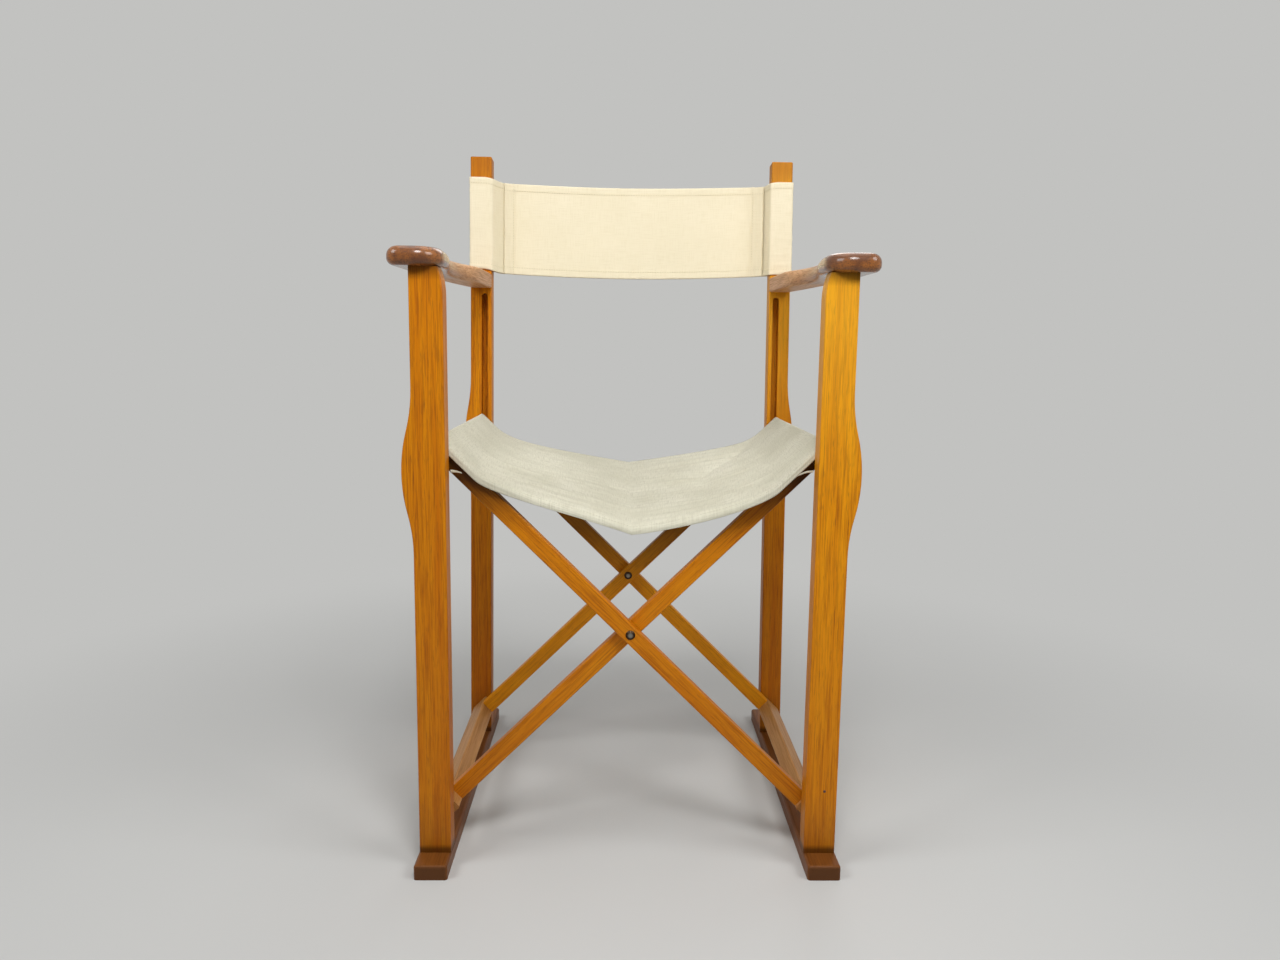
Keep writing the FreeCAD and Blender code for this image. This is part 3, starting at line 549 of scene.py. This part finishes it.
ball = add(stitch_run, "GeometryNodeMeshUVSphere", {"Segments": 8, "Rings": 4, "Radius": 0.5})
size = add(stitch_run, "ShaderNodeCombineXYZ", {
    "X": given.outputs["Length"], "Y": given.outputs["Width"], "Z": given.outputs["Width"],
})
ahead = add(stitch_run, "GeometryNodeInputTangent")
turned = add(stitch_run, "FunctionNodeAlignRotationToVector", {"Vector": ahead.outputs[0]}, axis="X")
placed = add(stitch_run, "GeometryNodeInstanceOnPoints", {
    "Points": spaced.outputs[0], "Instance": ball.outputs[0], "Rotation": turned.outputs[0],
    "Scale": size.outputs[0],
})
real = add(stitch_run, "GeometryNodeRealizeInstances", {"Geometry": placed.outputs[0]})
dressed = add(stitch_run, "GeometryNodeSetMaterial", {
    "Geometry": real.outputs[0], "Material": given.outputs["Thread"],
})
add(stitch_run, "NodeGroupOutput", {"Stitches": dressed.outputs[0]})


def cotton_thread(name, dark, pale):
    """Sewing thread with a twist that breaks its tone every 1.2 mm."""
    material, tree, shader = new_material(name, Roughness=0.85, Sheen_Weight=0.1)
    place = add(tree, "ShaderNodeTexCoord")
    twist = add(tree, "ShaderNodeTexNoise", {
        "Vector": place.outputs["Object"], "Scale": 1 / 0.0012, "Detail": 1.0,
    })
    tree.links.new(blended(tree, twist.outputs[0], linear(dark), linear(pale)), shader.inputs["Base Color"])
    return material


def sewn(name, thread, runs):
    """Stitches along runs of points, as one piece. The thread is drawn double, so that it shows."""
    mesh = bpy.data.meshes.new(name)
    points = []
    edges = []
    for run in runs:
        edges += [(len(points) + step, len(points) + step + 1) for step in range(len(run) - 1)]
        points += run
    mesh.from_pydata(points, edges, [])
    piece = bpy.data.objects.new(name, mesh)
    bpy.context.scene.collection.objects.link(piece)
    stitches = piece.modifiers.new("stitches", "NODES")
    stitches.node_group = stitch_run
    for socket, value in (("Pitch", 0.0036), ("Length", 0.0027), ("Width", 0.0008), ("Thread", thread)):
        stitches[stitch_inputs[socket]] = value
    settle(piece)
    piece.data.shade_smooth()
    return piece


def raised(rows, row, column, height):
    """A point that far above a sheet's middle, on the side that its rows and columns face."""
    across = rows[row][column + 1] - rows[row][column - 1]
    along = rows[min(row + 1, len(rows) - 1)][column] - rows[max(row - 1, 0)][column]
    return rows[row][column] + across.cross(along).normalized() * height


# X that the stitches reach on both sides, and their height above the cloth's middle, in the hem's face
SEWN_HALF, STITCH_LIFT = 0.2, 0.0007
# a row of the sling, on which the columns' X are read
SLING_ROW = 40
sling_columns = [
    column for column in range(1, len(seat_rows[0]) - 1) if abs(seat_rows[SLING_ROW][column].x) < SEWN_HALF
]
# washed cotton thread: as grey as the seat, so that it hardly shows
washed_thread = cotton_thread("washed_cotton_thread", "#BDB9A4", "#D4D0BC")
seat_thread = sewn("seat_stitches", washed_thread, [
    [raised(seat_rows, row, column, STITCH_LIFT) for column in sling_columns]
    for row in (FRONT_SEAM, len(seat_rows) - REAR_HEM)
])
# widths that the front and rear of the cloth would turn over as it hangs in the V of the crossed legs when
# folded; the front lies deeper in it and turns over less of its width. The points are scaled by their share
# and then put back, so the sheet stays as it is
TURN_FRONT, TURN_REAR = 0.141, 0.179
for piece in (seat, seat_thread, *hem_tails):
    places = [vertex.co.copy() for vertex in piece.data.vertices]
    for vertex in piece.data.vertices:
        share = min(max((vertex.co.y - SEAT_FRONT) / (SEAT_REAR - SEAT_FRONT), 0.0), 1.0)
        vertex.co.x *= TURN_REAR / mixed(TURN_FRONT, TURN_REAR, share)
    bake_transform(piece)
    for vertex, place in zip(piece.data.vertices, places):
        vertex.co = place
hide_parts("seat_canvas")


# Tacks: cut tacks with domed heads, driven through the canvas into the outer face of each seat rail.
# Blued steel, eight to a rail, evenly spaced. A small brad of the same steel pins the right leg's foot.

tack_row = bpy.data.node_groups.new("tack_row", "GeometryNodeTree")
tack_inputs = {}
for name, way, kind in (
    ("Rail", "INPUT", "NodeSocketGeometry"), ("Count", "INPUT", "NodeSocketInt"),
    ("Head", "INPUT", "NodeSocketFloat"), ("Dome", "INPUT", "NodeSocketFloat"),
    ("Turn", "INPUT", "NodeSocketVector"), ("Steel", "INPUT", "NodeSocketMaterial"),
    ("Tacks", "OUTPUT", "NodeSocketGeometry"),
):
    tack_inputs[name] = tack_row.interface.new_socket(name, in_out=way, socket_type=kind).identifier
given = add(tack_row, "NodeGroupInput")
line = add(tack_row, "GeometryNodeMeshToCurve", {"Mesh": given.outputs["Rail"]})
spaced = add(tack_row, "GeometryNodeResampleCurve", {
    "Curve": line.outputs[0], "Count": given.outputs["Count"],
})
ball = add(tack_row, "GeometryNodeMeshUVSphere", {"Segments": 12, "Rings": 6, "Radius": 0.5})
size = add(tack_row, "ShaderNodeCombineXYZ", {
    "X": given.outputs["Head"], "Y": given.outputs["Head"], "Z": given.outputs["Dome"],
})
placed = add(tack_row, "GeometryNodeInstanceOnPoints", {
    "Points": spaced.outputs[0], "Instance": ball.outputs[0], "Rotation": given.outputs["Turn"],
    "Scale": size.outputs[0],
})
real = add(tack_row, "GeometryNodeRealizeInstances", {"Geometry": placed.outputs[0]})
dressed = add(tack_row, "GeometryNodeSetMaterial", {
    "Geometry": real.outputs[0], "Material": given.outputs["Steel"],
})
add(tack_row, "NodeGroupOutput", {"Tacks": dressed.outputs[0]})

# blued tack steel: dark and smooth, with a small bright spot from each lamp and rust in clouds of 3 mm
tack_steel, tree, shader = new_material("blued_tack_steel", Metallic=1.0)
place = add(tree, "ShaderNodeTexCoord")
cloud = add(tree, "ShaderNodeTexNoise", {
    "Vector": place.outputs["Object"], "Scale": 1 / 0.003, "Detail": 2.0,
})
tree.links.new(
    blended(tree, cloud.outputs[0], linear("#55555A"), linear("#6A4B38")), shader.inputs["Base Color"])
gloss = add(tree, "ShaderNodeMapRange", {"Value": cloud.outputs[0], "To Min": 0.25, "To Max": 0.55})
tree.links.new(gloss.outputs[0], shader.inputs["Roughness"])

# the outer tacks' distance from the seat's edges, and the heads' middle above the cloth's
TACK_INSET, TACK_LIFT = 0.022, 0.0004
for side, name, body in ((-1, "left", "outer_frame"), (1, "right", "inner_frame")):
    x, z = rail_point(side, RAIL_ALONG + LIFT + TACK_LIFT, 0.0)
    ends = [Vector((x, y, z)) for y in (SEAT_FRONT + TACK_INSET, SEAT_REAR - TACK_INSET)]
    mesh = bpy.data.meshes.new("seat_tacks_" + name)
    mesh.from_pydata(ends, [(0, 1)], [])
    tacks = bpy.data.objects.new("seat_tacks_" + name, mesh)
    bpy.context.scene.collection.objects.link(tacks)
    driven = tacks.modifiers.new("tacks", "NODES")
    driven.node_group = tack_row
    outwards = Vector((side * slope.x, 0, slope.z)).to_track_quat("Z", "Y").to_euler()
    for socket, value in (
        ("Count", 8), ("Head", 0.008), ("Dome", 0.0032), ("Turn", outwards), ("Steel", tack_steel),
    ):
        driven[tack_inputs[socket]] = value
    settle(tacks)
    tacks.data.shade_smooth()
    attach(tacks, body)

# the brad's head is flat, and stands just proud of the leg's front face
BRAD_PLACE = 0.2212, -0.202, 0.0915
BRAD_RADIUS, BRAD_FLAT = 0.0016, 0.4
head = bmesh.new()
bmesh.ops.create_uvsphere(
    head, u_segments=12, v_segments=6, radius=BRAD_RADIUS,
    matrix=Matrix.Translation(BRAD_PLACE) @ Matrix.Diagonal((1, BRAD_FLAT, 1, 1)))
mesh = bpy.data.meshes.new("foot_brad")
head.to_mesh(mesh)
head.free()
mesh.shade_smooth()
mesh.materials.append(tack_steel)
brad = bpy.data.objects.new("foot_brad", mesh)
bpy.context.scene.collection.objects.link(brad)
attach(brad, "right_side")


# Back rest: a strip of cream canvas behind the posts, hemmed all round, with a sewn sleeve at
# each end that slips down over a post and stops on the arm.
# The strip is sewn over the sleeve ends, so a folded lip stands up along each seam.

# Y of the post's front face at the floor, X of its inner and outer face, and its thickness
POST_FOOT, POST_IN, POST_OUT, POST_THICK = 0.136, 0.200, 0.230, 0.024


def on_post(x, depth, height):
    """A point given by X, the depth behind the post's front face, and the true height."""
    return Vector((x, POST_FOOT + depth / cos(POST_LEAN) + height * tan(POST_LEAN), height))


# clean cream canvas: brighter and warmer than the seat, with a soft thread
back_cloth = canvas("cream_back_canvas", "#F3E8CB", "#F0E5C7", "#EBDFBF")
# cream cotton thread: a shade darker than the cloth
cream_thread = cotton_thread("cream_cotton_thread", "#CFC39E", "#EFE5C8")
# left and right: X of the strip's lip and seam, of the sleeve's inner wall and of its edge under the lip
LIP = {-1: 0.185, 1: 0.1915}
SEAM = {-1: 0.1715, 1: 0.1765}
WALL_END = {-1: 0.1838, 1: 0.1935}
EDGE = {-1: 0.1826, 1: 0.1893}
# how far the lip stands forward, the strip's lower and upper edge there, and the sleeve's lower edge
LIP_OUT = {-1: 0.0030, 1: 0.0034}
STRIP = {-1: (0.6878, 0.8168), 1: (0.6895, 0.8180)}
LOW_EDGE = {-1: 0.6925, 1: 0.6905}
SLEEVE_TOP = 0.821
# X between which the sleeve's edges come to the strip's
MEETS = POST_IN + 0.012, 0.186
# the cloth's gap to the post, and its gap at the inner wall's front
EASE, WALL_EASE = 0.0011, 0.0012
# how far behind the post the cloth lies: at its first end, at the wall's rear and at its last end
FIRST_END, WALL_BACK, LAST_END = 0.0026, 0.0022, 0.0040
# radius of the sleeve's bends, their most as a share of a straight, and their steps
BEND_RADIUS, BEND_SHARE, BEND_STEPS = 0.0026, 0.4, 6
SLEEVE_ROWS, SLEEVE_HEM, COLUMN_GAP = 63, 4, 0.0016
# the sleeves' crinkles: their height, the share of it everywhere,
# the share added at the lower edge, and the rise in which that fades
CRINKLE, EVEN_SHARE, LOW_SHARE, CRINKLE_FADE = 0.0018, 0.25, 1.4, 0.018
# their waves in a metre, round the post and up it, where they are 8 mm apart
CRINKLE_WAVES = 14, 130


def crinkled(side, x, depth, height):
    """How far a sleeve's cloth stands off its post; the two sleeves differ."""
    around, upward = CRINKLE_WAVES
    cloud = noise.noise(Vector((x * around + side * 9, depth * around, height * upward)))
    share = EVEN_SHARE + LOW_SHARE * exp(-(height - LOW_EDGE[side]) / CRINKLE_FADE)
    return CRINKLE * max(0.0, cloud) * share


for side, body, name in ((-1, "left_side", "left"), (1, "right_side", "right")):
    corners = [Vector(corner) for corner in (
        (EDGE[side], POST_THICK + FIRST_END),
        (WALL_END[side], POST_THICK + WALL_BACK),
        (POST_IN - WALL_EASE, -EASE),
        (POST_OUT + EASE, -EASE),
        (POST_OUT + EASE, POST_THICK + EASE),
        (POST_IN, POST_THICK + WALL_BACK),
        (EDGE[side], POST_THICK + LAST_END),
    )]
    loop = [corners[0]]
    for before, here, after in zip(corners, corners[1:], corners[2:]):
        start, end = (
            here + way.normalized() * min(BEND_RADIUS, way.length * BEND_SHARE)
            for way in (before - here, after - here)
        )
        for step in range(BEND_STEPS + 1):
            t = step / BEND_STEPS
            loop.append((1 - t) ** 2 * start + 2 * t * (1 - t) * here + t * t * end)
    loop.append(corners[-1])
    path = []
    for one, two in zip(loop, loop[1:]):
        count = max(1, round((two - one).length / COLUMN_GAP))
        path += [one.lerp(two, step / count) for step in range(count)]
    path.append(loop[-1])
    rows = []
    for step in range(SLEEVE_ROWS + 1):
        row = []
        for x, depth in path:
            inner = soft_step(*MEETS, x)
            low = mixed(LOW_EDGE[side], STRIP[side][0], inner)
            high = mixed(SLEEVE_TOP, STRIP[side][1], inner)
            height = mixed(low, high, step / SLEEVE_ROWS)
            out = Vector((x - (POST_IN + POST_OUT) / 2, depth - POST_THICK / 2)).normalized()
            out *= crinkled(side, x, depth, height) * (1 - inner)
            row.append(on_post(side * (x + out.x), depth + out.y, height))
        rows.append(row if side < 0 else list(reversed(row)))
    sleeve, sleeve_flat = cloth_piece(
        "back_sleeve_cloth_" + name, rows, back_cloth, thickness=0.0013,
        doubled=lambda row, column: not SLEEVE_HEM <= row <= SLEEVE_ROWS - SLEEVE_HEM)
    # the rows face the post, so the stitches lie on their other side
    sleeve_thread = sewn("back_sleeve_stitches_" + name, cream_thread, [
        [raised(rows, row, column, -STITCH_LIFT) for column in range(1, len(path) - 1)]
        for row in (SLEEVE_HEM, SLEEVE_ROWS - SLEEVE_HEM)
    ])
    for piece in (sleeve, sleeve_thread):
        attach(piece, body)
    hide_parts("back_sleeve_" + name)

# how far the strip's lower and upper edge sag, its bow to the rear, and its least depth behind the post
SAG_LOW, SAG_HIGH, BOW_BACK, STRIP_BACK = 0.0055, 0.004, 0.004, 0.0010
# the ridge along each seam and its half width, and how far beyond the seam the lip starts to rise
RIDGE, RIDGE_HALF, LIP_START = 0.0007, 0.0018, 0.004
# height of the strip's soft waves and their number in a metre, across and up
STRIP_WAVE, STRIP_WAVES = 0.0012, (9, 14)
# its stitches' height above its middle, in the hem's face
STRIP_STITCH_LIFT = 0.0008
STRIP_ROWS, STRIP_COLUMNS, STRIP_HEM = 65, 250, 5
strip_rows = []
for step in range(STRIP_ROWS + 1):
    row = []
    for column in range(STRIP_COLUMNS + 1):
        share = column / STRIP_COLUMNS
        x = mixed(-LIP[-1], LIP[1], share)
        side = 1 if x > 0 else -1
        bow = 1 - (x / LIP[side]) ** 2
        low, high = (mixed(*pair, share) for pair in zip(STRIP[-1], STRIP[1]))
        height = mixed(low - SAG_LOW * bow, high - SAG_HIGH * bow, step / STRIP_ROWS)
        depth = POST_THICK + STRIP_BACK + BOW_BACK * bow ** 3
        depth += RIDGE * exp(-((abs(x) - SEAM[side]) / RIDGE_HALF) ** 2)
        depth -= LIP_OUT[side] * soft_step(SEAM[side] + LIP_START, LIP[side], abs(x))
        depth += STRIP_WAVE * noise.noise(Vector((x * STRIP_WAVES[0], 2.0, height * STRIP_WAVES[1]))) * bow
        row.append(on_post(x, depth, height))
    strip_rows.append(row)


def strip_doubled(row, column):
    """True in the strip's hems and in its lips, outside the seams."""
    hemmed = not STRIP_HEM <= row <= STRIP_ROWS - STRIP_HEM
    return hemmed or not -SEAM[-1] < strip_rows[0][column].x < SEAM[1]


strip, strip_flat = cloth_piece(
    "back_strip", strip_rows, back_cloth, thickness=0.0015, doubled=strip_doubled)
seam_columns = [
    min(range(STRIP_COLUMNS + 1), key=lambda column: abs(strip_rows[0][column].x - x))
    for x in (-SEAM[-1], SEAM[1])
]
strip_thread = sewn("back_strip_stitches", cream_thread, [
    [raised(strip_rows, row, column, STRIP_STITCH_LIFT) for column in range(1, STRIP_COLUMNS)]
    for row in (STRIP_HEM, STRIP_ROWS - STRIP_HEM)
] + [
    [raised(strip_rows, row, column, STRIP_STITCH_LIFT) for row in range(STRIP_ROWS + 1)]
    for column in seam_columns
])
for piece in (strip, strip_thread):
    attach(piece, "left_side")
    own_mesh(piece)
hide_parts("back_canvas")


# Studio: a plain pale floor that runs out into an even pale backdrop.
# A soft lamp above the camera, a weaker one on each side and a broad one overhead, as in the photo;
# the weak one behind is for views of the back.

BACKDROP = "#C2C2C0"
FLOOR_HALF = 9


def seen_or_mirrored(tree):
    """One for rays from the camera, and for those that metal or a clear thing sends on."""
    rays = add(tree, "ShaderNodeLightPath")
    mirrored = add(tree, "ShaderNodeMath", {
        0: rays.outputs["Is Glossy Ray"], 1: rays.outputs["Is Transmission Ray"],
    }, operation="MAXIMUM")
    either = add(tree, "ShaderNodeMath", {
        0: rays.outputs["Is Camera Ray"], 1: mirrored.outputs[0],
    }, operation="MAXIMUM")
    return either.outputs[0]


# plain matt studio floor: an even pale grey that takes shadows near the chair and none far off
floor_paint, tree, shader = new_material("plain_pale_floor", Base_Color=linear("#CACAC8"), Roughness=0.9)
place = add(tree, "ShaderNodeTexCoord")
far = add(tree, "ShaderNodeVectorMath", {0: place.outputs["Object"]}, operation="LENGTH")
away = add(tree, "ShaderNodeMapRange", {
    "Value": far.outputs["Value"], "From Min": 0.25, "From Max": 1.3,
}, interpolation_type="SMOOTHSTEP")
even = add(tree, "ShaderNodeMath", {0: away.outputs[0], 1: seen_or_mirrored(tree)}, operation="MULTIPLY")
glow = add(tree, "ShaderNodeEmission", {"Color": linear(BACKDROP)})
both = add(tree, "ShaderNodeMixShader", {0: even.outputs[0], 1: shader.outputs[0], 2: glow.outputs[0]})
tree.links.new(both.outputs[0], tree.nodes["Material Output"].inputs[0])
mesh = bpy.data.meshes.new("floor")
mesh.from_pydata([
    (-FLOOR_HALF, -FLOOR_HALF, 0), (FLOOR_HALF, -FLOOR_HALF, 0),
    (FLOOR_HALF, FLOOR_HALF, 0), (-FLOOR_HALF, FLOOR_HALF, 0),
], [], [(0, 1, 2, 3)])
mesh.materials.append(floor_paint)
floor = bpy.data.objects.new("floor", mesh)
bpy.context.scene.collection.objects.link(floor)

world = bpy.data.worlds.new("pale_room")
bpy.context.scene.world = world
world.use_nodes = True
tree = world.node_tree
room = tree.nodes["Background"]
room.inputs["Color"].default_value = linear("#D2D2D0")
room.inputs["Strength"].default_value = 0.16
backdrop = add(tree, "ShaderNodeBackground", {"Color": linear(BACKDROP)})
both = add(tree, "ShaderNodeMixShader", {
    0: seen_or_mirrored(tree), 1: room.outputs[0], 2: backdrop.outputs[0],
})
tree.links.new(both.outputs[0], tree.nodes["World Output"].inputs[0])

# the lamps point at the middle of the chair
LAMP_AIM = Vector((0, 0, 0.45))
for name, position, wide, power in (
    ("lamp_main", (0.1, -1.1, 1.65), 0.5, 15.0),
    ("lamp_left", (-1.3, -0.8, 1.6), 0.8, 12.0),
    ("lamp_right", (1.3, -0.8, 1.6), 0.8, 12.0),
    ("lamp_overhead", (0.0, 0.3, 2.6), 1.6, 9.0),
    ("lamp_rear", (0.5, 1.7, 1.9), 0.9, 8.0),
):
    light = bpy.data.lights.new(name, "AREA")
    light.size = wide
    light.energy = power
    lamp = bpy.data.objects.new(name, light)
    lamp.location = position
    lamp.rotation_euler = (LAMP_AIM - Vector(position)).to_track_quat("-Z", "Y").to_euler()
    bpy.context.scene.collection.objects.link(lamp)

# where the photo was taken from, and the camera's turn, upward tilt and roll in degrees
CAMERA_PLACE = -0.0156, -1.2061, 0.5896
CAMERA_TURN, CAMERA_TILT, CAMERA_ROLL = -1.334, -8.194, 0.785
eye = bpy.data.cameras.new("photo_camera")
eye.sensor_width = 36.0
eye.lens = 26.63
camera = bpy.data.objects.new("photo_camera", eye)
camera.matrix_world = (
    Matrix.Translation(CAMERA_PLACE) @ Matrix.Rotation(radians(CAMERA_TURN), 4, "Z")
    @ Matrix.Rotation(radians(90 + CAMERA_TILT), 4, "X") @ Matrix.Rotation(radians(CAMERA_ROLL), 4, "Z")
)
bpy.context.scene.collection.objects.link(camera)
bpy.context.scene.camera = camera
bpy.context.scene.view_settings.view_transform = "Standard"
